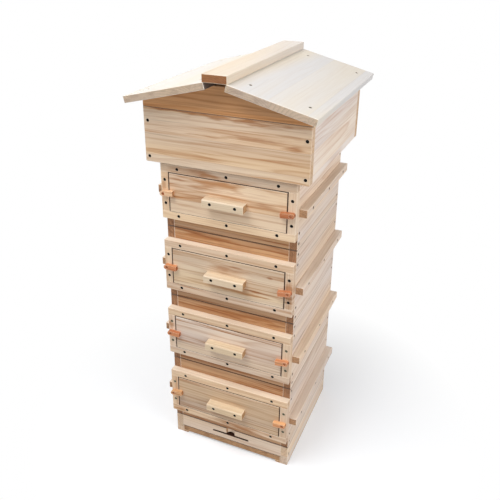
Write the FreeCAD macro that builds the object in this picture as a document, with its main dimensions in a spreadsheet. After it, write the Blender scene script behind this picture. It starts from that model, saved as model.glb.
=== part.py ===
import FreeCAD, Part
import math
import os

# A vertical top bar hive: a base with a floor that slides out, four equal boxes with a shuttered
# window each, a quilt box, and a gabled roof that comes down over the quilt.
# Millimetres. X runs to the right, Y to the back, Z up. The origin is the middle of the footprint,
# on the ground.

SIZES = (
    ("hive_width", 340, "outside width of base, boxes and quilt"),
    ("hive_depth", 340, "outside depth of base, boxes and quilt"),
    ("wall", 20, "thickness of base, box and quilt boards"),
    ("arris", 0.8, "chamfer planed along the edges of a board"),
    ("box_height", 200, "height of one box"),
    ("frame_bottom", 29, "bottom of a window frame above the bottom of its box"),
    ("frame_height", 140, "outside height of a window frame"),
    ("strip_width", 20, "face width of a window frame strip"),
    ("strip_depth", 19, "how far a window frame stands proud of the box"),
    ("shutter_lap", 8, "how far a shutter laps the rails above and below the window"),
    ("shutter_side_gap", 1.5, "gap at each side of a shutter"),
    ("shutter_top_gap", 2, "gap above a shutter"),
    ("shutter_rest", 0.3, "gap under a shutter"),
    ("pane_thickness", 4, "thickness of a window pane"),
    ("pane_setback", 4, "wood between a pane groove and the inside of the box"),
    ("pane_groove", 6, "depth of the grooves that hold a pane"),
    ("pane_play", 0.2, "clearance on each face of a pane in its grooves"),
    ("pane_edge_gap", 0.5, "gap at each side and at the top of a pane"),
    ("handle_length", 104, "length of a shutter handle"),
    ("handle_height", 20, "height of a shutter handle"),
    ("handle_depth", 23, "how far a shutter handle stands out"),
    ("handle_bevel", 2.5, "bevel along the upper front edge of a shutter handle"),
    ("handle_drop", 3, "middle of a handle below the middle of the window"),
    ("button_length", 34, "length of a turn button"),
    ("button_width", 12, "width of a turn button"),
    ("button_thickness", 11, "thickness of a turn button"),
    ("button_tail", 9, "round end of a turn button beyond its pivot"),
    ("button_play", 0.2, "gap between a turn button and the window frame"),
    ("button_drop", 2, "pivot of a turn button below the middle of the window"),
    ("tilt_left_1", -5, "turn of the left button on box 1 from level, in degrees"),
    ("tilt_left_2", 1, "turn of the left button on box 2"),
    ("tilt_left_3", 1, "turn of the left button on box 3"),
    ("tilt_left_4", -8, "turn of the left button on box 4"),
    ("tilt_right_1", -5, "turn of the right button on box 1"),
    ("tilt_right_2", -9, "turn of the right button on box 2"),
    ("tilt_right_3", -8, "turn of the right button on box 3"),
    ("tilt_right_4", -5, "turn of the right button on box 4"),
    ("batten_size", 20, "side of the square hand-hold battens"),
    ("batten_bottom", 85, "bottom of a batten above the bottom of its box"),
    ("bar_count", 8, "top bars in one box"),
    ("bar_width", 24, "width of a top bar"),
    ("bar_thickness", 9, "thickness of a top bar"),
    ("bar_end_gap", 0.5, "gap at each end of a top bar in its rabbet"),
    ("bar_arris", 0.5, "chamfer along the edges of a top bar"),
    ("rabbet_width", 10, "width of the rabbets that carry the top bars"),
    ("rabbet_depth", 10, "depth of the rabbets that carry the top bars"),
    ("wax_groove", 3, "width and depth of the starter groove under a top bar"),
    ("base_height", 64, "height of the base"),
    ("runner_height", 6, "height of the runners that carry the floor board"),
    ("runner_width", 15, "width of the runners that carry the floor board"),
    ("floor_thickness", 17.5, "thickness of the floor board"),
    ("floor_play", 0.5, "gap above the floor board and behind it"),
    ("floor_side_gap", 1, "gap at each side of the floor board"),
    ("slot_width", 110, "width of the entrance slot"),
    ("slot_height", 6, "height of the entrance slot"),
    ("slot_drop", 19, "top of the entrance slot below the top of the base"),
    ("finger_radius", 13, "radius of the upright groove above the slot"),
    ("finger_offset", 3, "axis of that groove in front of the board"),
    ("base_front_screw", 34, "front side screws above the ground"),
    ("base_rear_screw", 18, "rear side screws from the top and the bottom of the base"),
    ("quilt_height", 100, "height of the quilt box"),
    ("quilt_screw_edge", 20, "side screws from the top and the bottom of the quilt box"),
    ("cloth_thickness", 1.2, "thickness of the quilt's cloth"),
    ("cloth_gap", 0.3, "gap around and under the quilt's cloth"),
    ("cloth_hem", 16, "height of the hem turned up inside the quilt box"),
    ("roof_clearance", 10, "gap between the roof walls and the quilt box"),
    ("roof_wall", 20, "thickness of the roof walls"),
    ("skirt_gap", 5, "gap between the roof walls and the window frame of box 1"),
    ("front_board_rise", 4, "top of the roof's end boards above the quilt box"),
    ("gable_end", 18, "height of a gable board at the eaves"),
    ("roof_slope", 14, "slope of the roof panels, in degrees"),
    ("panel_thickness", 16, "thickness of a roof panel"),
    ("eave_overhang", 20, "roof panel beyond the side wall, along the slope"),
    ("verge_overhang", 42, "roof panel beyond the front and back walls"),
    ("ridge_gap", 45, "gap between the two roof panels, at their lower faces"),
    ("cap_thickness", 18, "thickness of the ridge cap"),
    ("cap_lap", 2.6, "how far the ridge cap laps each roof panel"),
    ("inner_board_thickness", 6, "thickness of the board inside the roof"),
    ("roof_screw_low", 13, "lower end board screws above the bottom of the roof"),
    ("roof_screw_high", 98, "upper end board screws above the bottom of the roof"),
    ("panel_screw_low", 15, "lower panel screws from the wall, along the slope"),
    ("panel_screw_high", 150, "upper panel screws from the wall, along the slope"),
    ("screw_head_radius", 3.8, "radius of a screw head"),
    ("screw_rim", 1, "height of the rim of a screw head"),
    ("screw_shank_radius", 2, "radius of a screw's shank"),
    ("screw_recess", 1, "depth of a screw head below the wood"),
    ("screw_play", 0.1, "radial gap between a screw and its hole"),
    ("screw_slot_width", 1.1, "width of the cross in a screw head"),
    ("screw_slot_length", 4.4, "length of the cross in a screw head"),
    ("screw_slot_depth", 1.2, "depth of the cross in a screw head"),
    ("side_screw", 34, "length of the screws through side and end boards"),
    ("frame_screw", 30, "length of the screws through window frame strips"),
    ("pivot_screw", 36, "length of the screws that turn buttons turn on"),
    ("handle_screw", 37, "length of the screws through handles"),
    ("batten_screw", 35, "length of the screws through battens"),
    ("panel_screw", 30, "length of the screws through roof panels"),
    ("rail_screw_inset", 44, "outer frame rail screws from the side of the box"),
    ("stile_screw_reach", 30, "stile screws above and below the middle of the window"),
    ("handle_screw_inset", 20.5, "handle screws from the ends of the handle"),
    ("batten_screw_inset", 43, "outer batten screws from the ends of the batten"),
    ("corner_screw_edge", 14, "outer corner screws from the top and bottom of a box"),
    ("front_screw_second", 41, "inner front corner screws from the top and bottom of a box"),
    ("rear_screw_second", 68, "inner rear corner screws from the top and bottom of a box"),
)
BOX_COUNT = 4
CUTTER_REACH = 1000
UPPER_FRONT_EDGE = 10

doc = FreeCAD.newDocument("vertical_top_bar_hive")
sheet = doc.addObject("Spreadsheet::Sheet", "size")
for row, (alias, value, note) in enumerate(SIZES, start=1):
    sheet.set(f"A{row}", alias)
    sheet.set(f"B{row}", str(value))
    sheet.setAlias(f"B{row}", alias)
    sheet.set(f"C{row}", note)
doc.recompute()


def num(name):
    """A size from the sheet, as a number."""
    return float(getattr(sheet, name))


def place(item, x="0", y="0", z="0"):
    """Binds where an object stands to three expressions."""
    for axis, text in zip("xyz", (x, y, z)):
        item.setExpression(f"Placement.Base.{axis}", text)
    return item


def turn(item, axis, angle):
    """Binds how far an object is turned about an axis to an expression in degrees."""
    for letter, part in zip("xyz", axis):
        item.setExpression(f"Placement.Rotation.Axis.{letter}", str(part))
    item.setExpression("Placement.Rotation.Angle", angle)
    return item


def block(name, size, corner):
    """A plain block: three size expressions and the three of its low corner."""
    item = doc.addObject("Part::Box", name)
    for side, text in zip(("Length", "Width", "Height"), size):
        item.setExpression(side, text)
    return place(item, *corner)


def rod(name, radius, height, centre):
    """An upright cylinder on a centre."""
    item = doc.addObject("Part::Cylinder", name)
    item.setExpression("Radius", radius)
    item.setExpression("Height", height)
    return place(item, *centre)


def board(name, size, corner, arris="arris"):
    """A block with every edge planed off by a small chamfer."""
    item = doc.addObject("Part::Chamfer", name)
    item.Base = block(name + "_blank", size, corner)
    item.Edges = [(edge, num(arris), num(arris)) for edge in range(1, 13)]
    return item


def cut(name, base, *tools):
    """The base with the tools taken out of it."""
    for number, tool in enumerate(tools, start=1):
        item = doc.addObject("Part::Cut", f"{name}_{number}" if number < len(tools) else name)
        item.Base = base
        item.Tool = tool
        base = item
    return base


def mirror(name, source, normal=(1, 0, 0)):
    """The same piece on the other side of the hive's middle."""
    item = doc.addObject("Part::Mirroring", name)
    item.Source = source
    item.Normal = FreeCAD.Vector(*normal)
    return item


def group(name, *items):
    """Separate solids held together under one name and one placement."""
    item = doc.addObject("Part::Compound", name)
    item.Links = list(items)
    return item


NODES = []


def node(name, *items, z="0"):
    """A sub-part of the hive, raised to its height."""
    item = place(group(name, *items), z=z)
    item.Label = name
    NODES.append(item)
    return item


# Heights and places that several pieces share, as expressions.

HALF_WIDTH = "size.hive_width / 2"
HALF_DEPTH = "size.hive_depth / 2"
INNER_WIDTH = "(size.hive_width - 2 * size.wall)"
INNER_DEPTH = "(size.hive_depth - 2 * size.wall)"
INNER_LEFT = "(size.wall - size.hive_width / 2)"
INNER_FRONT = "(size.wall - size.hive_depth / 2)"
INNER_BACK = "(size.hive_depth / 2 - size.wall)"
FRAME_TOP = "(size.frame_bottom + size.frame_height)"
WINDOW_MIDDLE = "(size.frame_bottom + size.frame_height / 2)"
WINDOW_HEIGHT = "(size.frame_height - 2 * size.strip_width - 2 * size.shutter_lap)"
WINDOW_BOTTOM = "(size.frame_bottom + size.strip_width + size.shutter_lap)"
WINDOW_TOP = f"({WINDOW_BOTTOM} + {WINDOW_HEIGHT})"
FRAME_FACE = "(-size.hive_depth / 2 - size.strip_depth)"
QUILT_BOTTOM = f"(size.base_height + {BOX_COUNT} * size.box_height)"
QUILT_TOP = f"({QUILT_BOTTOM} + size.quilt_height)"
ROOF_WIDTH = "(size.hive_width + 2 * size.roof_clearance + 2 * size.roof_wall)"
ROOF_DEPTH = "(size.hive_depth + 2 * size.roof_clearance + 2 * size.roof_wall)"
SKIRT = f"(size.box_height - {FRAME_TOP} - size.skirt_gap)"
ROOF_BOTTOM = f"({QUILT_BOTTOM} - {SKIRT})"
END_BOARD = f"({SKIRT} + size.quilt_height + size.front_board_rise)"
EAVE = f"({ROOF_BOTTOM} + {END_BOARD} + size.gable_end)"
RUN = f"({ROOF_WIDTH} / 2 - size.ridge_gap / 2)"
PEAK = f"({EAVE} + {RUN} * tan(size.roof_slope))"
UPPER_GAP = "(size.ridge_gap + 2 * size.panel_thickness * sin(size.roof_slope))"
CAP_BOTTOM = (f"({PEAK} + size.panel_thickness * cos(size.roof_slope)"
              " - size.cap_lap * tan(size.roof_slope))")


def solved(text):
    """The value of one of those expressions, in millimetres."""
    return float(sheet.evalExpression(text))


# Screws. A screw is a place on the wood's face, the direction it is driven in and a length.

def turned(points):
    """The solid that a half profile of (radius, depth) points sweeps around the axis."""
    corners = [FreeCAD.Vector(radius, 0, depth) for radius, depth in points]
    face = Part.Face(Part.makePolygon(corners + corners[:1]))
    return face.revolve(FreeCAD.Vector(0, 0, 0), FreeCAD.Vector(0, 0, 1), 360)


def screw_profile(length, play, mouth):
    """Half profile of a screw, or of its hole when there is play and an open mouth."""
    head = num("screw_head_radius") + 3 * play
    shank = num("screw_shank_radius") + play
    rim = -num("screw_recess") - num("screw_rim")
    cone = rim - (num("screw_head_radius") - num("screw_shank_radius"))
    tip = -length - play
    return [(0, mouth), (head, mouth), (head, rim), (shank, cone), (shank, tip + shank), (0, tip)]


def screw_shape(length):
    """A countersunk screw that points down from the origin, with a cross in its head."""
    recess = num("screw_recess")
    body = turned(screw_profile(length, 0, -recess))
    wide = num("screw_slot_width")
    long_side = num("screw_slot_length")
    deep = num("screw_slot_depth")
    for size_x, size_y in ((long_side, wide), (wide, long_side)):
        corner = FreeCAD.Vector(-size_x / 2, -size_y / 2, -recess - deep)
        body = body.cut(Part.makeBox(size_x, size_y, deep, corner))
    return body


def hole_shape(length):
    """The countersunk hole that the same screw sits in."""
    return turned(screw_profile(length, num("screw_play"), num("screw_recess")))


def driven(shape, place_on_face, direction):
    """The shape moved to a place, its head facing against the direction it is driven in."""
    turn_to = FreeCAD.Rotation(FreeCAD.Vector(0, 0, -1), FreeCAD.Vector(*direction))
    moved = shape.copy()
    moved.Placement = FreeCAD.Placement(FreeCAD.Vector(*place_on_face), turn_to)
    return moved


def screw_set(name, screws, maker):
    """One object that holds a copy of the maker's shape for each (place, direction, length)."""
    shapes = {}
    for _, _, length in screws:
        shapes.setdefault(length, maker(num(length)))
    item = doc.addObject("Part::Feature", name)
    item.Shape = Part.makeCompound([driven(shapes[length], where, way) for where, way, length in screws])
    return item


def side_screws(heights_front, heights_rear):
    """Screws through both side boards into the boards between them."""
    screws = []
    for heights, y in ((heights_front, -1), (heights_rear, 1)):
        for height in heights:
            for side in (-1, 1):
                where = (side * solved(HALF_WIDTH), y * (solved(HALF_DEPTH) - num("wall") / 2), height)
                screws.append((where, (-side, 0, 0), "side_screw"))
    return screws


RIGHT = (1, 0, 0)
BACK = (0, 1, 0)


# The base.

def build_base():
    base_height = "size.base_height"
    front_bottom = "(size.runner_height + size.floor_thickness + size.floor_play)"
    rear = num("base_rear_screw")
    screws = side_screws([num("base_front_screw")], [rear, num("base_height") - rear])
    holes = screw_set("base_holes", screws, hole_shape)
    side = board("base_side_plain", ("size.wall", "size.hive_depth", base_height),
                 (f"-{HALF_WIDTH}", f"-{HALF_DEPTH}", "0"))
    side = cut("base_side_left", side, holes)
    node("base_side_boards", side, mirror("base_side_right", side))

    slot_bottom = "(size.base_height - size.slot_drop - size.slot_height)"
    slot_reach = "(size.slot_width / 2 - size.slot_height / 2)"
    front = board("base_front_plain", (INNER_WIDTH, "size.wall", f"{base_height} - {front_bottom}"),
                  (INNER_LEFT, f"-{HALF_DEPTH}", front_bottom))
    slot = block("slot_middle", (f"2 * {slot_reach}", "3 * size.wall", "size.slot_height"),
                 (f"-{slot_reach}", f"-{HALF_DEPTH} - size.wall", slot_bottom))
    slot_ends = []
    for side_name, sign in (("left", "-"), ("right", "")):
        end = rod(f"slot_end_{side_name}", "size.slot_height / 2", "3 * size.wall",
                  (f"{sign}{slot_reach}", f"-{HALF_DEPTH} + 2 * size.wall",
                   f"{slot_bottom} + size.slot_height / 2"))
        slot_ends.append(turn(end, RIGHT, "90"))
    finger = rod("finger_groove", "size.finger_radius", "2 * size.slot_drop",
                 ("0", f"-{HALF_DEPTH} - size.finger_offset", f"{slot_bottom} + size.slot_height / 2"))
    node("base_front_board", cut("base_front", front, slot, *slot_ends, finger, holes))

    back = board("base_back_plain", (INNER_WIDTH, "size.wall", base_height),
                 (INNER_LEFT, INNER_BACK, "0"))
    node("base_back_board", cut("base_back", back, holes))

    runner = board("runner_left", ("size.runner_width", f"{INNER_DEPTH} + size.wall", "size.runner_height"),
                   (INNER_LEFT, f"-{HALF_DEPTH}", "0"))
    node("base_runners", runner, mirror("runner_right", runner))
    node("base_floor", board("floor_board",
                             (f"{INNER_WIDTH} - 2 * size.floor_side_gap",
                              f"{INNER_DEPTH} + size.wall - size.floor_play", "size.floor_thickness"),
                             (f"{INNER_LEFT} + size.floor_side_gap", f"-{HALF_DEPTH}",
                              "size.runner_height")))
    node("base_screws", screw_set("base_screw_set", screws, screw_shape))


# A box, in its own frame with its bottom at zero.

def box_screws():
    """Every screw of one box."""
    front = solved(FRAME_FACE)
    middle = solved(WINDOW_MIDDLE)
    half_width = solved(HALF_WIDTH)
    stile_x = half_width - num("strip_width") / 2
    rail_reach = half_width - num("rail_screw_inset")
    handle_reach = num("handle_length") / 2 - num("handle_screw_inset")
    button_face = front - num("button_play") - num("button_thickness")
    batten_reach = solved(HALF_DEPTH) - num("batten_screw_inset")
    batten_face = half_width + num("batten_size")
    batten_middle = num("batten_bottom") + num("batten_size") / 2
    height = num("box_height")
    edge = num("corner_screw_edge")
    screws = []
    for x in (-rail_reach, 0, rail_reach):
        for offset in (-1, 1):
            z = middle + offset * (num("frame_height") - num("strip_width")) / 2
            screws.append(((x, front, z), BACK, "frame_screw"))
    for side in (-1, 1):
        for offset in (-1, 1):
            z = middle + offset * num("stile_screw_reach")
            screws.append(((side * stile_x, front, z), BACK, "frame_screw"))
        pivot = (side * stile_x, button_face, middle - num("button_drop"))
        screws.append((pivot, BACK, "pivot_screw"))
        handle_place = (side * handle_reach, front - num("handle_depth"), middle - num("handle_drop"))
        screws.append((handle_place, BACK, "handle_screw"))
        for y in (-batten_reach, 0, batten_reach):
            screws.append(((side * batten_face, y, batten_middle), (-side, 0, 0), "batten_screw"))
    front_second = num("front_screw_second")
    rear_second = num("rear_screw_second")
    screws += side_screws((edge, front_second, height - front_second, height - edge),
                          (edge, rear_second, height - rear_second, height - edge))
    return screws


def build_side_boards(holes):
    side = board("box_side_plain", ("size.wall", "size.hive_depth", "size.box_height"),
                 (f"-{HALF_WIDTH}", f"-{HALF_DEPTH}", "0"))
    side = cut("box_side_left", side, holes)
    return side, mirror("box_side_right", side)


def build_end_boards(holes):
    groove_front = "(-size.hive_depth / 2 + size.wall - size.pane_setback - size.pane_thickness)"
    groove = block("pane_grooves",
                   (f"{INNER_WIDTH} + 2 * size.wall", "size.pane_thickness + 2 * size.pane_play",
                    f"{WINDOW_HEIGHT} + 2 * size.pane_groove"),
                   (f"-{HALF_WIDTH}", f"{groove_front} - size.pane_play",
                    f"{WINDOW_BOTTOM} - size.pane_groove"))
    rabbet = block("bar_rabbets",
                   (f"{INNER_WIDTH} + 2 * size.wall", f"{INNER_DEPTH} + 2 * size.rabbet_width",
                    "2 * size.rabbet_depth"),
                   (f"-{HALF_WIDTH}", f"{INNER_FRONT} - size.rabbet_width",
                    "size.box_height - size.rabbet_depth"))
    lower = board("rail_lower_plain", (INNER_WIDTH, "size.wall", WINDOW_BOTTOM),
                  (INNER_LEFT, f"-{HALF_DEPTH}", "0"))
    upper = board("rail_upper_plain", (INNER_WIDTH, "size.wall", f"size.box_height - {WINDOW_TOP}"),
                  (INNER_LEFT, f"-{HALF_DEPTH}", WINDOW_TOP))
    back = board("box_back_plain", (INNER_WIDTH, "size.wall", "size.box_height"),
                 (INNER_LEFT, INNER_BACK, "0"))
    return (cut("rail_lower", lower, groove, holes), cut("rail_upper", upper, groove, rabbet, holes),
            cut("box_back", back, rabbet, holes))


def build_pane():
    return block("pane",
                 (f"{INNER_WIDTH} - 2 * size.pane_edge_gap", "size.pane_thickness",
                  f"{WINDOW_HEIGHT} + 2 * size.pane_groove - size.pane_edge_gap"),
                 (f"{INNER_LEFT} + size.pane_edge_gap",
                  f"{INNER_FRONT} - size.pane_setback - size.pane_thickness",
                  f"{WINDOW_BOTTOM} - size.pane_groove"))


def build_frame(holes):
    rails = []
    for name, z in (("lower", "size.frame_bottom"), ("upper", f"{FRAME_TOP} - size.strip_width")):
        rail = board(f"frame_{name}_plain", ("size.hive_width", "size.strip_depth", "size.strip_width"),
                     (f"-{HALF_WIDTH}", FRAME_FACE, z))
        rails.append(cut(f"frame_{name}", rail, holes))
    stile = board("frame_stile_plain",
                  ("size.strip_width", "size.strip_depth", "size.frame_height - 2 * size.strip_width"),
                  (f"-{HALF_WIDTH}", FRAME_FACE, "size.frame_bottom + size.strip_width"))
    stile = cut("frame_stile_left", stile, holes)
    return (*rails, stile, mirror("frame_stile_right", stile))


def build_shutter(holes):
    width = "(size.hive_width - 2 * size.strip_width - 2 * size.shutter_side_gap)"
    height = "(size.frame_height - 2 * size.strip_width - size.shutter_top_gap - size.shutter_rest)"
    shutter = board("shutter_plain", (width, "size.strip_depth", height),
                    (f"-{width} / 2", FRAME_FACE, "size.frame_bottom + size.strip_width + size.shutter_rest"))
    handle = board("handle_plain", ("size.handle_length", "size.handle_depth", "size.handle_height"),
                   ("-size.handle_length / 2", f"{FRAME_FACE} - size.handle_depth",
                    f"{WINDOW_MIDDLE} - size.handle_drop - size.handle_height / 2"))
    bevel = num("handle_bevel")
    handle.Edges = [(UPPER_FRONT_EDGE, bevel, bevel) if edge[0] == UPPER_FRONT_EDGE else edge
                    for edge in handle.Edges]
    return cut("shutter", shutter, holes), cut("handle", handle, holes)


def build_batten(holes):
    batten = board("batten_plain", ("size.batten_size", "size.hive_depth", "size.batten_size"),
                   (f"-{HALF_WIDTH} - size.batten_size", f"-{HALF_DEPTH}", "size.batten_bottom"))
    batten = cut("batten_left", batten, holes)
    return batten, mirror("batten_right", batten)


def build_top_bars():
    length = f"({INNER_DEPTH} + 2 * size.rabbet_width - 2 * size.bar_end_gap)"
    bar = board("top_bar_plain", ("size.bar_width", length, "size.bar_thickness"),
                ("0", f"-{length} / 2", "size.box_height - size.rabbet_depth"), "bar_arris")
    groove = block("wax_grooves", ("size.wax_groove", INNER_DEPTH, "2 * size.wax_groove"),
                   ("(size.bar_width - size.wax_groove) / 2", f"-{INNER_DEPTH} / 2",
                    "size.box_height - size.rabbet_depth - size.wax_groove"))
    bar = cut("top_bar", bar, groove)
    gap = f"({INNER_WIDTH} - size.bar_count * size.bar_width) / (size.bar_count + 1)"
    return [place(group(f"top_bar_{number + 1}", bar),
                  x=f"{INNER_LEFT} + {gap} + {number} * (size.bar_width + {gap})")
            for number in range(round(num("bar_count")))]


def build_turn_button():
    """A button that turns on the origin, its long end to the right and its face to the front."""
    reach = "(size.button_length - size.button_tail)"
    middle = "(size.button_tail - size.button_width / 2)"
    bar = block("button_bar", (f"{reach} + {middle}", "size.button_thickness", "size.button_width"),
                (f"-{middle}", "-size.button_thickness", "-size.button_width / 2"))
    end = turn(rod("button_end", "size.button_width / 2", "size.button_thickness",
                   (f"-{middle}", "0", "0")), RIGHT, "90")
    body = doc.addObject("Part::Fuse", "button_body")
    body.Base = bar
    body.Tool = end
    body.Refine = True
    face = -num("button_thickness")
    hole = screw_set("button_hole", [((0, face, 0), BACK, "pivot_screw")], hole_shape)
    return cut("button", body, hole)


def build_boxes():
    screws = box_screws()
    holes = screw_set("box_holes", screws, hole_shape)
    shutter, handle = build_shutter(holes)
    pieces = {
        "side_boards": build_side_boards(holes),
        "end_boards": build_end_boards(holes),
        "window_pane": [build_pane()],
        "window_frame": build_frame(holes),
        "shutter": [shutter],
        "shutter_handle": [handle],
        "battens": build_batten(holes),
        "top_bars": build_top_bars(),
        "screws": [screw_set("box_screw_set", screws, screw_shape)],
    }
    button = build_turn_button()
    for number in range(1, BOX_COUNT + 1):
        bottom = f"size.base_height + {BOX_COUNT - number} * size.box_height"
        for name, items in pieces.items():
            node(f"box_{number}_{name}", *items, z=bottom)
        for side, sign, half_turn in (("left", "-", "0"), ("right", "", "180")):
            item = node(f"box_{number}_turn_button_{side}", button)
            place(item, f"{sign}({HALF_WIDTH} - size.strip_width / 2)",
                  f"{FRAME_FACE} - size.button_play",
                  f"{bottom} + {WINDOW_MIDDLE} - size.button_drop")
            turn(item, BACK, f"{half_turn} + size.tilt_{side}_{number}")


# The quilt box.

def build_quilt():
    edge = num("quilt_screw_edge")
    heights = (edge, num("quilt_height") - edge)
    screws = side_screws(heights, heights)
    holes = screw_set("quilt_holes", screws, hole_shape)
    side = board("quilt_side_plain", ("size.wall", "size.hive_depth", "size.quilt_height"),
                 (f"-{HALF_WIDTH}", f"-{HALF_DEPTH}", "0"))
    side = cut("quilt_side_left", side, holes)
    end = board("quilt_end_plain", (INNER_WIDTH, "size.wall", "size.quilt_height"),
                (INNER_LEFT, f"-{HALF_DEPTH}", "0"))
    end = cut("quilt_end_front", end, holes)
    node("quilt_boards", side, mirror("quilt_side_right", side), end,
         mirror("quilt_end_back", end, BACK), z=QUILT_BOTTOM)

    outer = block("cloth_outside",
                  (f"{INNER_WIDTH} - 2 * size.cloth_gap", f"{INNER_DEPTH} - 2 * size.cloth_gap",
                   "size.cloth_hem"),
                  (f"{INNER_LEFT} + size.cloth_gap", f"{INNER_FRONT} + size.cloth_gap",
                   "size.cloth_gap"))
    inset = "(size.cloth_gap + size.cloth_thickness)"
    hollow = block("cloth_hollow", (f"{INNER_WIDTH} - 2 * {inset}", f"{INNER_DEPTH} - 2 * {inset}",
                                    "2 * size.cloth_hem"),
                   (f"{INNER_LEFT} + {inset}", f"{INNER_FRONT} + {inset}", inset))
    node("quilt_cloth", cut("cloth", outer, hollow), z=QUILT_BOTTOM)
    node("quilt_screws", screw_set("quilt_screw_set", screws, screw_shape), z=QUILT_BOTTOM)


# The roof.

def sloped(name, *items):
    """Items drawn along the right-hand slope, X down the slope from the wall's top outer edge."""
    item = place(group(name, *items), f"{ROOF_WIDTH} / 2", "0", EAVE)
    return turn(item, BACK, "size.roof_slope")


def roof_wall_screws():
    """Screws through the front and back boards of the roof into its side boards."""
    x = solved(ROOF_WIDTH) / 2 - num("roof_wall") / 2
    y = solved(ROOF_DEPTH) / 2
    screws = []
    for height in (num("roof_screw_low"), num("roof_screw_high")):
        for side in (-1, 1):
            for end in (-1, 1):
                where = (side * x, end * y, solved(ROOF_BOTTOM) + height)
                screws.append((where, (0, -end, 0), "side_screw"))
    return screws


def panel_screws():
    """Screws through the right-hand panel into the gable boards, along the slope."""
    y = solved(ROOF_DEPTH) / 2 - num("roof_wall") / 2
    places = [(-along, end * y) for along in (num("panel_screw_low"), num("panel_screw_high"))
              for end in (-1, 1)]
    return [((x, end_y, num("panel_thickness")), (0, 0, -1), "panel_screw") for x, end_y in places]


def build_roof():
    wall_screws = roof_wall_screws()
    wall_holes = screw_set("roof_wall_holes", wall_screws, hole_shape)
    panel_holes = sloped("panel_holes_right", screw_set("panel_hole_set", panel_screws(), hole_shape))
    half = str(CUTTER_REACH)
    above = sloped("above_slope_right", block("above_slope", (f"2 * {half}", f"2 * {half}", half),
                                              (f"-{half}", f"-{half}", "0")))
    above_left = mirror("above_slope_left", above)
    panel_holes_left = mirror("panel_holes_left", panel_holes)

    ends = board("roof_end_plain", (ROOF_WIDTH, "size.roof_wall", END_BOARD),
                 (f"-{ROOF_WIDTH} / 2", f"-{ROOF_DEPTH} / 2", ROOF_BOTTOM))
    ends = cut("roof_end_front", ends, wall_holes)
    node("roof_end_boards", ends, mirror("roof_end_back", ends, BACK))

    gable_bottom = f"({ROOF_BOTTOM} + {END_BOARD})"
    gable = board("gable_plain", (ROOF_WIDTH, "size.roof_wall", f"{PEAK} - {gable_bottom}"),
                  (f"-{ROOF_WIDTH} / 2", f"-{ROOF_DEPTH} / 2", gable_bottom))
    gable = cut("gable_front", gable, above, above_left, panel_holes, panel_holes_left)
    node("roof_gables", gable, mirror("gable_back", gable, BACK))

    side_length = f"({ROOF_DEPTH} - 2 * size.roof_wall)"
    side = board("roof_side_plain",
                 ("size.roof_wall", side_length,
                  f"{EAVE} - {ROOF_BOTTOM} + size.roof_wall * tan(size.roof_slope)"),
                 (f"{ROOF_WIDTH} / 2 - size.roof_wall", f"-{side_length} / 2", ROOF_BOTTOM))
    side = cut("roof_side_right", side, above, wall_holes)
    node("roof_side_boards", side, mirror("roof_side_left", side))

    length = f"({ROOF_DEPTH} + 2 * size.verge_overhang)"
    up_slope = f"({RUN} / cos(size.roof_slope))"
    cap_width = f"({UPPER_GAP} + 2 * size.cap_lap)"
    cap = board("cap", (cap_width, length, "size.cap_thickness"),
                (f"-{cap_width} / 2", f"-{length} / 2", CAP_BOTTOM))
    seat = block("cap_seat", (cap_width, f"2 * {length}", "size.cap_thickness"),
                 (f"-{cap_width} / 2", f"-{length}", CAP_BOTTOM))
    panel = board("panel_plain", (f"{up_slope} + size.eave_overhang", length, "size.panel_thickness"),
                  (f"-{up_slope}", f"-{length} / 2", "0"))
    panel = cut("panel_right", sloped("panel_on_slope", panel), seat, panel_holes)
    node("roof_panels", panel, mirror("panel_left", panel))
    node("roof_ridge_cap", cap)

    node("roof_inner_board",
         board("inner_board",
               (f"{ROOF_WIDTH} - 2 * size.roof_wall", side_length, "size.inner_board_thickness"),
               (f"size.roof_wall - {ROOF_WIDTH} / 2", f"-{side_length} / 2", QUILT_TOP)))

    panel_set = sloped("panel_screws_right", screw_set("panel_screw_set", panel_screws(), screw_shape))
    node("roof_screws", screw_set("roof_wall_screws", wall_screws, screw_shape), panel_set,
         mirror("panel_screws_left", panel_set))


def check(item, is_node):
    """Stops the build if an object failed or has no sound shape."""
    if "Invalid" in item.State or "Error" in item.State:
        raise RuntimeError(f"{item.Label} failed: {item.State}")
    if is_node and (item.Shape.isNull() or not item.Shape.isValid() or not item.Shape.Solids):
        raise RuntimeError(f"{item.Label} has no valid solid")


build_base()
build_boxes()
build_quilt()
build_roof()
doc.recompute()
for entry in doc.Objects:
    check(entry, False)
for entry in NODES:
    check(entry, True)
os.makedirs("parts", exist_ok=True)
for entry in NODES:
    entry.Shape.exportStep(f"parts/{entry.Label}.step")
print(len(NODES), "nodes,", sum(len(entry.Shape.Solids) for entry in NODES), "solids")
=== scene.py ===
import math
import random

import bmesh
import bpy
from mathutils import Matrix, Vector


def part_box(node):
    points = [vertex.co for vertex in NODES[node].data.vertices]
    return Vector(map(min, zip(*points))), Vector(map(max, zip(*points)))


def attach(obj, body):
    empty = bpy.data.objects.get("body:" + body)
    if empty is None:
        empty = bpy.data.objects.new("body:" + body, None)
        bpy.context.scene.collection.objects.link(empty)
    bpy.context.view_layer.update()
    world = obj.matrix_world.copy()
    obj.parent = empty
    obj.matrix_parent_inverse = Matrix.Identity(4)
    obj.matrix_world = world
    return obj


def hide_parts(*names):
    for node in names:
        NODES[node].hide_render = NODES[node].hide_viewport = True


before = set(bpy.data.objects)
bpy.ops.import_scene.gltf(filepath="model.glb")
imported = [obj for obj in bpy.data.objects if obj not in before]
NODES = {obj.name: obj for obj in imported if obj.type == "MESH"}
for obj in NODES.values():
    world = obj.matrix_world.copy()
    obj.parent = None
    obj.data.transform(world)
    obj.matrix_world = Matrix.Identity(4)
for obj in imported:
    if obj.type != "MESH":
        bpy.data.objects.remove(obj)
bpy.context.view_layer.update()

# Sizes of the hive that the materials need, in metres, read from the frame where it has them.

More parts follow.
